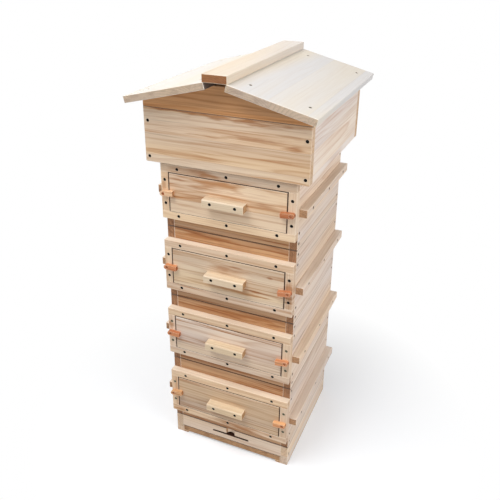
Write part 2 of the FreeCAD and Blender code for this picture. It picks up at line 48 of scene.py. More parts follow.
BOXES = (1, 2, 3, 4)
HALF_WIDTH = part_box("base_side_boards")[1].x
WALL = HALF_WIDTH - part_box("base_front_board")[1].x
WALL_MIDDLE = HALF_WIDTH - WALL / 2
BOX_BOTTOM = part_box("box_4_side_boards")[0].z
BOX_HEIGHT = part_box("box_4_side_boards")[1].z - BOX_BOTTOM
FRAME_LOW, FRAME_HIGH = (corner.z - BOX_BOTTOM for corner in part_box("box_4_window_frame"))
FRAME_MIDDLE = (FRAME_LOW + FRAME_HIGH) / 2
FRAME_HALF = (FRAME_HIGH - FRAME_LOW) / 2
STRIP = 0.020
BAR_PITCH = 0.036
BUTTON_SCREW = 0.16
SLOT_MIDDLE = 0.042
SLOT_HALF_LENGTH = 0.0552
SLOT_HALF_HEIGHT = 0.0032
ROOF_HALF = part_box("roof_end_boards")[1].x
ROOF_WALL_MIDDLE = ROOF_HALF - WALL / 2

# Where the thickness of boards is measured from: a distance from the middle of the hive or, for level
# boards, a height.

FRAME_DEPTH = 0.18
BUTTON_DEPTH = 0.19
HANDLE_DEPTH = 0.2
BATTEN_MIDDLE = HALF_WIDTH + 0.01
RUNNER_MIDDLE = 0.142
PANEL_HEIGHT = 1.0
INNER_BOARD_HEIGHT = 0.96

# Each board of a node gets wood of its own from the cell it is in: a cell's size along X, Y and Z, and
# where the cells start. A size of 0 is for an axis along which nothing is divided.

EVERYWHERE = 50.0
FAR = -EVERYWHERE / 2
JUST_ABOVE = BOX_BOTTOM + 0.0001
SIDES = (2 * HALF_WIDTH, 0, 0)
ENDS = (0, 2 * HALF_WIDTH, 0)
ROOF_SIDES = (2 * ROOF_HALF, 0, 0)
ROOF_ENDS = (0, 2 * ROOF_HALF, 0)
BOX_SIDES = (2 * HALF_WIDTH, 0, BOX_HEIGHT)
BOX_RAILS = (0, 2 * HALF_WIDTH, BOX_HEIGHT / 2)
ONE_BOARD = (0, 0, 0)
WHOLE = (FAR, FAR, FAR)
FROM_SIDE = (0, FAR, FAR)
FROM_FRONT = (FAR, 0, FAR)
FROM_BOX_SIDE = (0, FAR, JUST_ABOVE)
FROM_BOX_FRONT = (FAR, 0, JUST_ABOVE)
FROM_BOX = (FAR, FAR, JUST_ABOVE)


def srgb(red, green, blue):
    """A colour given as it looks on screen, 0 to 255, as the linear values a shader wants."""
    def linear(value):
        value /= 255
        return value / 12.92 if value <= 0.04045 else ((value + 0.055) / 1.055) ** 2.4
    return linear(red), linear(green), linear(blue), 1.0


class Graph:
    """Short names for making and linking the nodes of one node tree."""

    def __init__(self, tree):
        self.tree = tree

    def put(self, socket, value):
        """Links a socket to another one or gives it a value. None leaves it as it is."""
        if isinstance(value, bpy.types.NodeSocket):
            self.tree.links.new(value, socket)
        elif value is not None:
            socket.default_value = value

    def node(self, kind, inputs=(), **settings):
        """A new node, with its inputs given by name or number and its settings by name."""
        made = self.tree.nodes.new(kind)
        for key, value in settings.items():
            setattr(made, key, value)
        for key, value in dict(inputs).items():
            self.put(made.inputs[key], value)
        return made

    def math(self, operation, first, second=None, third=None, clamp=False):
        """The result of a calculation with numbers."""
        made = self.node("ShaderNodeMath", {0: first}, operation=operation, use_clamp=clamp)
        self.put(made.inputs[1], second)
        self.put(made.inputs[2], third)
        return made.outputs[0]

    def vector(self, operation, first, second=None):
        """The result of a calculation with vectors: a number for a length or a dot product."""
        made = self.node("ShaderNodeVectorMath", {0: first}, operation=operation)
        self.put(made.inputs[1], second)
        return made.outputs["Value"] if operation in ("LENGTH", "DOT_PRODUCT") else made.outputs[0]

    def split(self, vector):
        return self.node("ShaderNodeSeparateXYZ", {0: vector}).outputs[:3]

    def join(self, x=0.0, y=0.0, z=0.0):
        return self.node("ShaderNodeCombineXYZ", {0: x, 1: y, 2: z}).outputs[0]

    def noise(self, vector, scale, detail=2.0, roughness=0.5, distortion=0.0):
        return self.node("ShaderNodeTexNoise", {
            "Vector": vector, "Scale": scale, "Detail": detail, "Roughness": roughness,
            "Distortion": distortion})

    def random(self, vector):
        return self.node("ShaderNodeTexWhiteNoise", {"Vector": vector}, noise_dimensions="3D")

    def ramp(self, value, *stops):
        """A number turned into a grey level or a colour by stops of (place, level or colour)."""
        made = self.node("ShaderNodeValToRGB", {0: value})
        elements = made.color_ramp.elements
        while len(elements) < len(stops):
            elements.new(0.5)
        for element, (place, level) in zip(elements, stops):
            element.position = place
            element.color = level if isinstance(level, tuple) else (level, level, level, 1)
        return made.outputs[0]

    def mix(self, factor, first, second, blend="MIX"):
        """The first colour where the factor is 0, blended with the second where it's 1."""
        made = self.node("ShaderNodeMix", {0: factor, 6: first, 7: second},
                         data_type="RGBA", blend_type=blend)
        return made.outputs[2]

    def mix_vectors(self, factor, first, second):
        made = self.node("ShaderNodeMix", {0: factor, 4: first, 5: second}, data_type="VECTOR")
        return made.outputs[1]


# Solid wood. Grown in three dimensions, so that rings on a face and on an end belong together.

RING_PITCH = 0.0055
LEAST_PITCH = RING_PITCH * 0.7
PITH_DEPTH = 0.028
PITH_DEPTH_MORE = 0.05
PITH_ASIDE = 0.07
PITH_SLANT = 0.07
BEND = 0.030
SEAM = 0.0003
EDGE_RADIUS = 0.0012
TONE_RANGE = 0.16
MEAN_TONE = 0.98

# Frequencies of the wood's noises per metre along the grain, across it and through the board.

BENDS = (1.6, 9.0, 9.0)
RING_PATCHES = (2.2, 14.0, 14.0)
WIDE_STREAKS = (1.3, 26.0, 26.0)
NARROW_STREAKS = (3.5, 150.0, 150.0)
MINERAL_LINES = (2.4, 75.0, 75.0)
FIBRES = (14.0, 900.0, 900.0)
HAZE = (1.2, 11.0, 11.0)
PORES = (300.0, 1300.0, 1300.0)
BROWN_PATCHES = (45.0, 45.0, 90.0)

# How dark the rings, streaks, lines and fibres are.

RING_SHARE = 0.70
WIDE_SHARE = 0.38
NARROW_SHARE = 0.46
MINERAL_SHARE = 0.45
FIBRE_SHARE = 0.45
SEAM_SHARE = 0.45
END_SHARE = 0.35
END_RING_SHARE = 0.34
# How strong the brown stains and painted shade are.
STAIN_AND_SHADE_SHARE = 0.9
# How strong the painted highlights on edges and lit upper faces are.
HIGHLIGHT_SHARE = 0.55

# How far apart the staves' places in the noises are, how high the grain stands out in the bump, and how
# rough the wood is, with what its fibres, ends and painted shade add to that.

STAVE_SHIFT = (7.0, 9.0, 8.0)
RING_HEIGHT = 0.35
FIBRE_HEIGHT = 0.6
SEAM_DEPTH = 0.8
PORE_HEIGHT = 0.6
BUMP_DISTANCE = 0.00025
BUMP_STRENGTH = 0.6
ROUGHNESS = 0.42
FIBRE_ROUGHNESS = 0.20
END_ROUGHNESS = 0.15
SHADE_ROUGHNESS = 0.25

MINERAL = srgb(112, 72, 42)
WARM_TINT = srgb(255, 244, 226)
COOL_TINT = srgb(248, 246, 246)
END_TINT = srgb(236, 206, 172)
# The colour of painted highlights on edges and lit upper faces.
PAINTED_HIGHLIGHT = srgb(250, 240, 224)
# The colour of painted shade in gaps, grooves and recesses.
PAINTED_SHADE = srgb(66, 34, 14)
# The colour of brown stains, some of which are painted shade.
STAIN_AND_SHADE = srgb(196, 152, 108)


def edge_highlight(g):
    """1 on the edges of a board, where a painted highlight makes them pale, 0 on its faces."""
    rounded = g.node("ShaderNodeBevel", {"Radius": EDGE_RADIUS}, samples=4).outputs[0]
    true = g.node("ShaderNodeNewGeometry").outputs["True Normal"]
    turned = g.math("SUBTRACT", 1.0, g.vector("DOT_PRODUCT", rounded, true))
    return g.ramp(turned, (0.01, 0.0), (0.10, 1.0))


def grain_noise(g, local, grain, *settings):
    """Noise drawn out along the grain. The settings are its detail, roughness and distortion."""
    return g.noise(g.vector("MULTIPLY", local, grain), 1.0, *settings).outputs[0]


def about_zero(g, value, reach):
    """A random number between 0 and 1 as one between -reach / 2 and reach / 2."""
    return g.math("MULTIPLY", g.math("SUBTRACT", value, 0.5), reach)


def darken(g, color, level):
    """A colour times a plain number."""
    return g.mix(1.0, color, g.join(level, level, level), "MULTIPLY")


def find_stave(g, given):
    """How far a place is from the middle of its stave, in staves, and that stave's random numbers."""
    across = g.split(given["Place"])[1]
    start = g.random(given["Board"]).outputs["Value"]
    count = g.math("ADD", g.math("DIVIDE", across, given["Stave"]), start)
    index = g.math("FLOOR", count)
    key = g.vector("ADD", given["Board"], g.join(g.math("MULTIPLY", index, 3.7), index, 1.3))
    return g.math("SUBTRACT", g.math("FRACT", count), 0.5), g.random(key).outputs


def growth_rings(g, given, local, aside, luck):
    """How dark the growth ring at a place is, from its distance to the pith of the stave's tree."""
    along, _, through = g.split(given["Place"])
    luck_1, luck_2, luck_3 = g.split(luck["Color"])
    bend = g.noise(g.vector("MULTIPLY", local, BENDS), 1.0, 2.0).outputs["Color"]
    bend = g.vector("SUBTRACT", bend, (0.5, 0.5, 0.5))
    _, bend_across, bend_through = g.split(g.vector("MULTIPLY", bend, (0.0, BEND, BEND)))
    across = g.math("MULTIPLY", aside, given["Stave"])
    across = g.math("SUBTRACT", across, about_zero(g, luck_1, PITH_ASIDE))
    across = g.math("MULTIPLY_ADD", along, about_zero(g, luck_2, PITH_SLANT), across)
    across = g.math("ADD", across, bend_across)
    depth = g.math("MULTIPLY_ADD", luck_3, PITH_DEPTH_MORE, PITH_DEPTH)
    depth = g.math("ADD", g.math("ADD", depth, bend_through), through)
    radius = g.vector("LENGTH", g.join(across, depth))
    pitch = g.math("MULTIPLY_ADD", luck["Value"], RING_PITCH, LEAST_PITCH)
    ring = g.math("FRACT", g.math("DIVIDE", radius, pitch))
    return g.ramp(ring, (0.0, 0.35), (0.08, 0.0), (0.50, 0.08), (0.84, 0.62), (0.95, 1.0), (1.0, 0.40))


def streak_share(g, given, local, ring, fibre):
    """How much of the dark colour a face along the grain has."""
    strength = g.ramp(grain_noise(g, local, RING_PATCHES, 2.0), (0.36, 0.04), (0.64, 1.0))
    wide = g.ramp(grain_noise(g, local, WIDE_STREAKS, 3.0, 0.55, 0.4), (0.47, 0.0), (0.68, 1.0))
    narrow = g.ramp(grain_noise(g, local, NARROW_STREAKS, 3.0, 0.6, 0.3), (0.50, 0.0), (0.63, 1.0))
    dark = g.math("MULTIPLY", g.math("MULTIPLY", ring, strength), RING_SHARE)
    dark = g.math("MULTIPLY_ADD", wide, WIDE_SHARE, dark)
    dark = g.math("MULTIPLY_ADD", narrow, NARROW_SHARE, dark)
    dark = g.math("MULTIPLY", dark, given["Streaks"])
    return g.math("MULTIPLY_ADD", g.math("SUBTRACT", fibre, 0.5), FIBRE_SHARE, dark, clamp=True)


def face_color(g, given, local, ring, fibre, luck):
    """The colour of a face along the grain."""
    color = g.mix(streak_share(g, given, local, ring, fibre), given["Light"], given["Dark"])
    mineral = g.ramp(grain_noise(g, local, MINERAL_LINES, 2.0, 0.5, 0.6), (0.66, 0.0), (0.72, 1.0))
    mineral = g.math("MULTIPLY", g.math("MULTIPLY", mineral, MINERAL_SHARE), given["Streaks"])
    color = g.mix(mineral, color, MINERAL)
    haze = g.ramp(grain_noise(g, local, HAZE, 1.0), (0.35, 0.0), (0.65, 1.0))
    color = g.mix(1.0, color, g.mix(haze, WARM_TINT, COOL_TINT), "MULTIPLY")
    tone = about_zero(g, g.split(luck["Color"])[0], TONE_RANGE)
    return darken(g, color, g.math("MULTIPLY_ADD", tone, given["Streaks"], MEAN_TONE))


def end_color(g, given, local, ring, pores):
    """The colour of a face across the grain, browned in patches."""
    color = g.mix(1.0, g.mix(END_SHARE, given["Light"], given["Dark"]), END_TINT, "MULTIPLY")
    color = darken(g, color, g.math("MULTIPLY_ADD", ring, -END_RING_SHARE, 1.0))
    color = g.mix(1.0, color, pores, "MULTIPLY")
    browned = g.ramp(grain_noise(g, local, BROWN_PATCHES, 3.0, 0.6), (0.48, 0.0), (0.68, 0.5))
    return g.mix(browned, color, MINERAL)


def wood_group():
    """A group: a place in the board (X along the grain, Y across it, Z through it) gives wood."""
    tree = bpy.data.node_groups.new("solid_wood", "ShaderNodeTree")
    inputs = {"Vector": ("Place", "Board"), "Color": ("Light", "Dark"),
              "Float": ("Stave", "End", "Streaks", "Stain_And_Shade", "Painted_Shade", "Highlight")}
    outputs = {"Color": ("Color",), "Float": ("Roughness", "Height")}
    for way, sockets in (("INPUT", inputs), ("OUTPUT", outputs)):
        for kind, names in sockets.items():
            for name in names:
                tree.interface.new_socket(name, in_out=way, socket_type=f"NodeSocket{kind}")
    g = Graph(tree)
    given = g.node("NodeGroupInput").outputs
    aside, luck = find_stave(g, given)
    shift = g.vector("MULTIPLY", luck["Color"], STAVE_SHIFT)
    local = g.vector("ADD", given["Place"], shift)
    ring = growth_rings(g, given, local, aside, luck)
    fibre = grain_noise(g, local, FIBRES, 2.0, 0.6)
    pores = g.ramp(grain_noise(g, local, PORES, 2.0, 0.7), (0.35, 0.60), (0.60, 1.0))
    seam = g.math("MULTIPLY", g.math("SUBTRACT", 0.5, g.math("ABSOLUTE", aside)), given["Stave"])
    seam = g.math("LESS_THAN", seam, SEAM)

    color = face_color(g, given, local, ring, fibre, luck)
    color = g.mix(g.math("MULTIPLY", seam, SEAM_SHARE), color, given["Dark"])
    color = g.mix(given["End"], color, end_color(g, given, local, ring, pores))
    # Brown stains with painted shade, painted highlights on edges and lit upper faces, and painted
    # shade in gaps, grooves and recesses.
    color = g.mix(given["Stain_And_Shade"], color, g.mix(STAIN_AND_SHADE_SHARE, color, STAIN_AND_SHADE, "MULTIPLY"))
    highlight = g.math("MAXIMUM", edge_highlight(g), given["Highlight"])
    color = g.mix(highlight, color, g.mix(HIGHLIGHT_SHARE, color, PAINTED_HIGHLIGHT))
    color = g.mix(given["Painted_Shade"], color, PAINTED_SHADE)

    height = g.math("MULTIPLY_ADD", ring, RING_HEIGHT, g.math("MULTIPLY", fibre, FIBRE_HEIGHT))
    height = g.math("SUBTRACT", height, g.math("MULTIPLY", seam, SEAM_DEPTH))
    height = g.math("MULTIPLY_ADD", pores, g.math("MULTIPLY", given["End"], PORE_HEIGHT), height)
    rough = g.math("MULTIPLY_ADD", fibre, FIBRE_ROUGHNESS, ROUGHNESS)
    rough = g.math("MULTIPLY_ADD", given["End"], END_ROUGHNESS, rough)
    rough = g.math("MULTIPLY_ADD", given["Painted_Shade"], SHADE_ROUGHNESS, rough)
    out = g.node("NodeGroupOutput").inputs
    for name, value in (("Color", color), ("Roughness", rough), ("Height", height)):
        g.put(out[name], value)
    return tree


WOOD = wood_group()
PALE_LIGHT = srgb(236, 215, 188)
PALE_DARK = srgb(178, 128, 82)
AXES = "xyz"


def put_in_scene(name, data):
    """A new object with this data, linked to the scene."""
    made = bpy.data.objects.new(name, data)
    bpy.context.scene.collection.objects.link(made)
    return made


def new_material(name):
    """A material without nodes, and the graph to give it some."""
    material = bpy.data.materials.new(name)
    material.use_nodes = True
    material.node_tree.nodes.clear()
    return material, Graph(material.node_tree)


def cells(g, place, sizes, starts):
    """The number of the cell that a place is in: one for each board that shares the material."""
    moved = g.vector("SUBTRACT", place, starts)
    sizes = [size or EVERYWHERE for size in sizes]
    return g.vector("FLOOR", g.vector("DIVIDE", moved, sizes))


def in_board(g, place, order, middle):
    """The place turned so that the grain, the width and the thickness of a board are X, Y and Z."""
    parts = dict(zip(AXES, g.split(place)))
    through = g.math("SUBTRACT", g.math("ABSOLUTE", parts[order[2]]), middle)
    return g.join(parts[order[0]], parts[order[1]], through)


# Faces count as square to an axis, or as level, from these on.

SQUARE = 0.8
LEVEL = 0.9

# Painted shade in gaps, grooves and recesses: how far it reaches, in metres, and how much of the wood
# it covers. The joints between boxes have the first value at the sides and the second at the front and
# back.

JOINT_REACH = (0.0012, 0.0018)
JOINT_COVER = (0.35, 0.95)
GROOVE_REACH = 0.0011
EDGE_REACH = 0.0012
PLAY = 0.0004
SKIN = 0.0008
UNDER_CAP = 0.040
SHADED_COVER = 0.9
RIDGE_COVER = 0.85
BASE_EDGE_COVER = 0.8
FLOOR_COVER = 0.8
GABLE_COVER = 0.6

# Brown patches, both stains and painted shade: the frequencies of their ragged outlines and how far
# those stray.

RAGGED = (14.0, 14.0, 110.0)
STRAY = 2.2


def facing(g, axis):
    """How squarely a face looks along an axis: 1 across it, 0 along it."""
    normal = g.node("ShaderNodeTexCoord").outputs["Normal"]
    return g.math("ABSOLUTE", g.split(normal)[AXES.index(axis)])


def grain_share(g, order):
    """1 on a face that cuts across the grain, 0 elsewhere."""
    return g.math("GREATER_THAN", facing(g, order[0]), SQUARE)


def every(g, first, *others):
    """The product of shares: 1 where all of them are 1."""
    for other in others:
        first = g.math("MULTIPLY", first, other)
    return first


def near(g, value, level, reach):
    """1 where a value lies within reach of a level, 0 elsewhere."""
    return g.math("COMPARE", value, level, reach)


def upright(g):
    """1 on faces that aren't level."""
    return g.math("LESS_THAN", facing(g, "z"), LEVEL)


def height_in_box(g, z):
    """How high above the bottom of its box a place is."""
    return g.math("MODULO", g.math("SUBTRACT", z, BOX_BOTTOM), BOX_HEIGHT)


def from_side_to_front(g, values):
    """The first value on faces that look to the side, the second on those that look to the front."""
    at_side, at_front = values
    return g.math("MULTIPLY_ADD", facing(g, "y"), at_front - at_side, at_side)


def joint_shade(g, place):
    """Painted shade in the grooves between boxes, darker at the front and back than at the sides."""
    steps = g.math("DIVIDE", g.math("SUBTRACT", g.split(place)[2], BOX_BOTTOM), BOX_HEIGHT)
    away = g.math("MULTIPLY", g.math("SUBTRACT", steps, g.math("ROUND", steps)), BOX_HEIGHT)
    line = near(g, away, 0.0, from_side_to_front(g, JOINT_REACH))
    return every(g, line, upright(g), from_side_to_front(g, JOINT_COVER))


def shutter_shade(g, place):
    """Painted shade on the narrow faces of a shutter and along its upright edges."""
    narrow = g.math("LESS_THAN", facing(g, "y"), 0.5)
    edge = g.math("ABSOLUTE", g.split(place)[0])
    edge = g.math("GREATER_THAN", edge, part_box("box_1_shutter")[1].x - EDGE_REACH)
    return g.math("MULTIPLY", g.math("MAXIMUM", narrow, edge), SHADED_COVER)


def ridge_shade(g, place):
    """Painted shade on the edges of the roof panels under the ridge cap."""
    inner = g.math("LESS_THAN", g.math("ABSOLUTE", g.split(place)[0]), UNDER_CAP)
    return every(g, inner, g.math("GREATER_THAN", facing(g, "x"), SQUARE), RIDGE_COVER)


def lit_upper_faces(strength):
    """Painted light: the paler upper faces of strips that stand out, as if lit from above."""
    def share(g, place):
        up = g.split(g.node("ShaderNodeTexCoord").outputs["Normal"])[2]
        return g.math("MULTIPLY", g.math("GREATER_THAN", up, LEVEL), strength)
    return share


def frame_shade(g, place):
    """Painted shade on the faces of a window frame that look at its shutter."""
    x, _, z = g.split(place)
    level = near(g, height_in_box(g, z), FRAME_MIDDLE, FRAME_HALF - STRIP + PLAY)
    aside = near(g, x, 0.0, HALF_WIDTH - STRIP + PLAY)
    return every(g, level, aside, g.math("LESS_THAN", facing(g, "y"), LEVEL), SHADED_COVER)


def base_front_shade(g, place):
    """Painted shade on the walls of the entrance slot, along the board's lower edge and in the joints.
    """
    x, y, z = g.split(place)
    inside = g.math("GREATER_THAN", y, SKIN - HALF_WIDTH)
    slot = near(g, z, SLOT_MIDDLE, SLOT_HALF_HEIGHT)
    slot = every(g, inside, near(g, x, 0.0, SLOT_HALF_LENGTH), slot)
    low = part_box("base_front_board")[0].z
    edge = every(g, near(g, z, low, EDGE_REACH), upright(g), BASE_EDGE_COVER)
    return g.math("MAXIMUM", g.math("MAXIMUM", slot, edge), joint_shade(g, place))


def groove_shade(height, strength):
    """Painted shade in a groove at one height."""
    def share(g, place):
        line = near(g, g.split(place)[2], height, GROOVE_REACH)
        return every(g, line, upright(g), strength)
    return share


def stains_and_shade(marks, front_shade=0.0):
    """Brown patches on a front, some of them stains in the wood and some painted shade: (x, z, half
    length, half height, strength) of each. The second argument is how brown the whole front is besides,
    as painted shade."""
    def share(g, place):
        x, y, z = g.split(place)
        ragged = about_zero(g, grain_noise(g, place, RAGGED, 2.0, 0.6), STRAY)
        total = g.math("MULTIPLY", g.math("LESS_THAN", y, 0.0), front_shade)
        for mark_x, mark_z, half_length, half_height, strength in marks:
            along = g.math("DIVIDE", g.math("SUBTRACT", x, mark_x), half_length)
            across = g.math("DIVIDE", g.math("SUBTRACT", z, mark_z), half_height)
            away = g.math("ADD", g.vector("LENGTH", g.join(along, across)), ragged)
            spot = g.math("MULTIPLY", g.ramp(away, (0.25, 1.0), (1.0, 0.0)), strength)
            total = g.math("ADD", total, spot, clamp=True)
        return total
    return share


def end_stain_and_shade(strength):
    """Brown ends of the boards that show at the front and back: partly the end grain's colour, partly
    painted shade.
    """
    def share(g, place):
        return g.math("MULTIPLY", g.math("GREATER_THAN", facing(g, "y"), SQUARE), strength)
    return share


def box_tones(g, place, tones):
    """The tone of each box, from box 1 at the top down to box 4."""
    z = g.split(place)[2]
    count = len(tones)
    level = g.math("DIVIDE", g.math("SUBTRACT", z, JUST_ABOVE), BOX_HEIGHT * count)
    made = g.node("ShaderNodeValToRGB", {0: level})
    made.color_ramp.interpolation = "CONSTANT"
    elements = made.color_ramp.elements
    while len(elements) < count:
        elements.new(0.5)
    for number, (element, tone) in enumerate(zip(elements, reversed(tones))):
        element.position = number / count
        element.color = tone
    return made.outputs[0]


def wood(name, order, middle, sizes, starts, stave=0.055, streaks=1.0, light=PALE_LIGHT,
         dark=PALE_DARK, turned=None, spread=0.0, tones=None, painted_shade=None, stain_and_shade=None, highlight=None,
         ends=1.0):
    """A wood material. order and middle are as in_board has them, sizes and starts as cells has them,
    stave is the width of the staves, streaks and ends are how strong the streaks and the end grain are,
    and spread keeps the wood of one node from repeating in another. turned gives (share, order, middle,
    sizes, starts) of the boards in the same node whose grain runs another way. That share and the masks
    of the painted shade, of the brown stains and painted shade, and of the painted highlights are
    functions of the graph and the place."""
    material, g = new_material(name)
    place = g.node("ShaderNodeTexCoord").outputs["Object"]
    board_place = in_board(g, place, order, middle)
    key = g.vector("ADD", cells(g, place, sizes, starts), (spread, spread * 0.7, 0.5))
    end = grain_share(g, order)
    if turned:
        share, order_2, middle_2, sizes_2, starts_2 = turned
        part = share(g, place)
        board_place = g.mix_vectors(part, board_place, in_board(g, place, order_2, middle_2))
        key_2 = g.vector("ADD", cells(g, place, sizes_2, starts_2), (spread + 11.0, 3.0, 0.5))
        key = g.mix_vectors(part, key, key_2)
        end = g.node("ShaderNodeMix", {0: part, 2: end, 3: grain_share(g, order_2)}).outputs[0]
    if tones:
        tone = box_tones(g, place, tones)
        light = g.mix(1.0, light, tone, "MULTIPLY")
        dark = g.mix(1.0, dark, tone, "MULTIPLY")
    group = g.node("ShaderNodeGroup", node_tree=WOOD)
    values = {"Place": board_place, "Board": key, "Stave": stave, "Streaks": streaks,
              "End": g.math("MULTIPLY", end, ends), "Light": light, "Dark": dark}
    for socket, share in (("Stain_And_Shade", stain_and_shade), ("Painted_Shade", painted_shade), ("Highlight", highlight)):
        values[socket] = share(g, place) if share else 0.0
    for socket, value in values.items():
        g.put(group.inputs[socket], value)
    bump = g.node("ShaderNodeBump", {
        "Height": group.outputs["Height"], "Distance": BUMP_DISTANCE, "Strength": BUMP_STRENGTH})
    shader = g.node("ShaderNodeBsdfPrincipled", {
        "Base Color": group.outputs["Color"], "Roughness": group.outputs["Roughness"],
        "Normal": bump.outputs[0]})
    g.node("ShaderNodeOutputMaterial", {"Surface": shader.outputs[0]})
    return material


def dress(material, *names):
    """Gives CAD nodes a material."""
    for name in names:
        slots = NODES[name].data.materials
        slots.clear()
        slots.append(material)


def of_boxes(piece):
    """The names of one piece in all four boxes."""
    return [f"box_{number}_{piece}" for number in BOXES]


def side_share(g, place):
    """1 for the boards at the two sides, 0 for those between them."""
    x = g.math("ABSOLUTE", g.split(place)[0])
    return g.math("GREATER_THAN", x, HALF_WIDTH - WALL)


def stile_share(g, place):
    """1 for the upright strips of the window frames, 0 for the level ones."""
    x, _, z = g.split(place)
    from_middle = g.math("ABSOLUTE", g.math("SUBTRACT", height_in_box(g, z), FRAME_MIDDLE))
    between = g.math("LESS_THAN", from_middle, FRAME_HALF - STRIP)
    aside = g.math("GREATER_THAN", g.math("ABSOLUTE", x), HALF_WIDTH - STRIP)
    return g.math("MULTIPLY", between, aside)


# The tone of each box's wood, from box 1 at the top down to box 4. The shutters' and fronts' tones are
# partly painted light: they follow how much of the floor's bounce light each box takes.

SHUTTER_TONES = (srgb(249, 243, 237), srgb(247, 243, 235), srgb(248, 248, 255), srgb(234, 226, 220))
FRONT_TONES = (srgb(255, 253, 250), srgb(246, 244, 244), srgb(250, 248, 250), srgb(251, 248, 247))
BUTTON_TONES = {
    "left": (srgb(255, 252, 246), srgb(226, 178, 146), srgb(230, 180, 148), srgb(250, 238, 216)),
    "right": (srgb(218, 176, 146), srgb(226, 172, 140), srgb(242, 202, 174), srgb(246, 220, 196))}

# Brown patches, each as (x, z, half length, half height, strength). On the fronts some are stains in
# the wood and some painted shade, such as the roof's shadow along the top of box 1.

FRONT_STAINS_AND_SHADE = (
    (0.000, 0.584, 0.055, 0.012, 0.75), (0.095, 0.541, 0.060, 0.006, 0.9),
    (0.075, 0.530, 0.045, 0.003, 1.0), (-0.145, 0.101, 0.030, 0.006, 0.9),
    (0.050, 0.103, 0.130, 0.011, 1.0), (0.130, 0.300, 0.050, 0.006, 0.5),
    (-0.162, 0.387, 0.009, 0.018, 0.8), (-0.162, 0.780, 0.006, 0.016, 0.6),
    (0.105, 0.770, 0.050, 0.006, 0.6), (-0.110, 0.736, 0.070, 0.005, 0.5),
    (0.161, 0.561, 0.012, 0.050, 0.9), (0.030, 0.596, 0.020, 0.004, 0.6),
    (0.112, 0.588, 0.008, 0.004, 0.8), (-0.030, 0.803, 0.130, 0.020, 1.0),
    (-0.080, 0.824, 0.090, 0.010, 0.8), (0.030, 0.533, 0.120, 0.013, 0.9))
# How brown the rails' front faces are all over, and brown patches on them: both painted shade under the
# window frames.
RAIL_SHADE_TONE = 0.55
RAIL_SHADE = (
    (0.080, 0.229, 0.120, 0.014, 0.8), (-0.060, 0.650, 0.120, 0.010, 0.6),
    (0.050, 0.450, 0.150, 0.010, 0.7))
# Brown patches on the roof's front and back boards: the wide band along their tops is painted shade
# under the panels' overhang, the narrow ones are stains in the wood.
ROOF_STAINS_AND_SHADE = (
    (0.170, 0.915, 0.028, 0.008, 0.9), (0.080, 0.925, 0.110, 0.006, 0.7),
    (-0.060, 0.918, 0.070, 0.003, 0.8), (-0.140, 0.967, 0.055, 0.004, 0.8),
    (0.030, 0.960, 0.120, 0.006, 0.7), (0.150, 0.940, 0.060, 0.004, 0.6),
    (0.000, 0.973, 0.220, 0.022, 0.9))

# Widths of the staves that boards are glued up from. At WHOLE_BOARD a narrow board seldom has a seam.

FRONT_STAVE = 0.09
SHUTTER_STAVE = 0.062
ROOF_END_STAVE = 0.052
GABLE_STAVE = 0.12
PANEL_STAVE = 0.085
INNER_STAVE = 0.08
WHOLE_BOARD = 0.3


